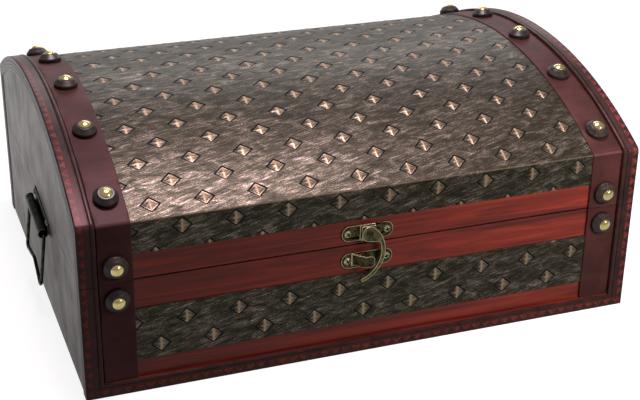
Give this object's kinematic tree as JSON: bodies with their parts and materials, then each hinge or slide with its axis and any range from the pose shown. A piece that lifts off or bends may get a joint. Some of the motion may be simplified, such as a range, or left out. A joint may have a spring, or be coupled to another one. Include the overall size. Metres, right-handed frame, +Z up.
{
  "type": "treasure chest",
  "caption": "Small wooden treasure chest with a barrel-topped hinged lid, leather straps with nailed wooden buttons, embossed sheet covering, a swing latch and wire drop handles on the ends.",
  "frame": {"origin": "on the floor under the middle of the chest's bottom, half-way between the front and back rims and between the ends", "axes": "+X to the right along the width, -Y towards the front with the latch, +Z up"},
  "size_m": [0.371, 0.2885, 0.1539],
  "materials": {
    "stained_wood": "red stain under satin lacquer",
    "button_wood": "dark stain under satin lacquer",
    "strap_leather": "smooth dark red-brown leather",
    "end_leather": "smooth dark brown leather",
    "printed_binding": "dark leather printed with a red tooth border",
    "embossed_sheet": "bronzed leather embossed with diamonds",
    "brass_nail": "polished",
    "antique_brass": "antiqued, dark in the recesses"
  },
  "bodies": {
    "base": {"back_moulding": "stained_wood", "back_moulding_binding": "printed_binding", "base_back_board": "stained_wood", "base_back_embossed_sheet": "embossed_sheet", "base_button_nails": "brass_nail", "base_buttons": "button_wood", "base_front_board": "stained_wood", "base_front_embossed_sheet": "embossed_sheet", "base_hinge_screws": "antique_brass", "base_latch_screws": "antique_brass", "base_left_back_binding": "printed_binding", "base_left_back_strap": "strap_leather", "base_left_end_board": "stained_wood", "base_left_end_cover": "end_leather", "base_left_front_binding": "printed_binding", "base_left_front_strap": "strap_leather", "base_right_back_binding": "printed_binding", "base_right_back_strap": "strap_leather", "base_right_end_board": "stained_wood", "base_right_end_cover": "end_leather", "base_right_front_binding": "printed_binding", "base_right_front_strap": "strap_leather", "bottom_board": "stained_wood", "front_moulding": "stained_wood", "front_moulding_binding": "printed_binding", "latch_lower_plate": "antique_brass", "left_handle_plate": "antique_brass", "left_handle_screws": "antique_brass", "left_hinge_base_leaf": "antique_brass", "left_hinge_pin": "antique_brass", "right_handle_plate": "antique_brass", "right_handle_screws": "antique_brass", "right_hinge_base_leaf": "antique_brass", "right_hinge_pin": "antique_brass"},
    "hook": {"latch_hook": "antique_brass"},
    "lid": {"latch_rivet": "antique_brass", "latch_upper_plate": "antique_brass", "left_hinge_lid_leaf": "antique_brass", "lid_arch_panel": "stained_wood", "lid_back_board": "stained_wood", "lid_button_nails": "brass_nail", "lid_buttons": "button_wood", "lid_embossed_sheet": "embossed_sheet", "lid_front_board": "stained_wood", "lid_hinge_screws": "antique_brass", "lid_latch_screws": "antique_brass", "lid_left_binding": "printed_binding", "lid_left_end_board": "stained_wood", "lid_left_end_cover": "end_leather", "lid_left_strap": "strap_leather", "lid_right_binding": "printed_binding", "lid_right_end_board": "stained_wood", "lid_right_end_cover": "end_leather", "lid_right_strap": "strap_leather", "right_hinge_lid_leaf": "antique_brass"},
    "left_bail": {"left_handle_bail": "antique_brass"},
    "right_bail": {"right_handle_bail": "antique_brass"}
  },
  "joints": [
    {"name": "lid_hinge", "type": "hinge", "parent": "base", "child": "lid", "pos_m": [0, 0.14, 0.07335], "axis": [-1, 0, 0], "range_deg": [0, 100]},
    {"name": "hook_pivot", "type": "hinge", "parent": "lid", "child": "hook", "pos_m": [-0.0039, -0.1407, 0.0811], "axis": [0, -1, 0], "range_deg": [0, 110]},
    {"name": "left_bail_swing", "type": "hinge", "parent": "base", "child": "left_bail", "pos_m": [-0.1806, -0.01386, 0.06101], "axis": [0, 0.9945, 0.1045], "range_deg": [0, 160]},
    {"name": "right_bail_swing", "type": "hinge", "parent": "base", "child": "right_bail", "pos_m": [0.1806, -0.014, 0.061], "axis": [0, -1, 0], "range_deg": [0, 160]}
  ]
}
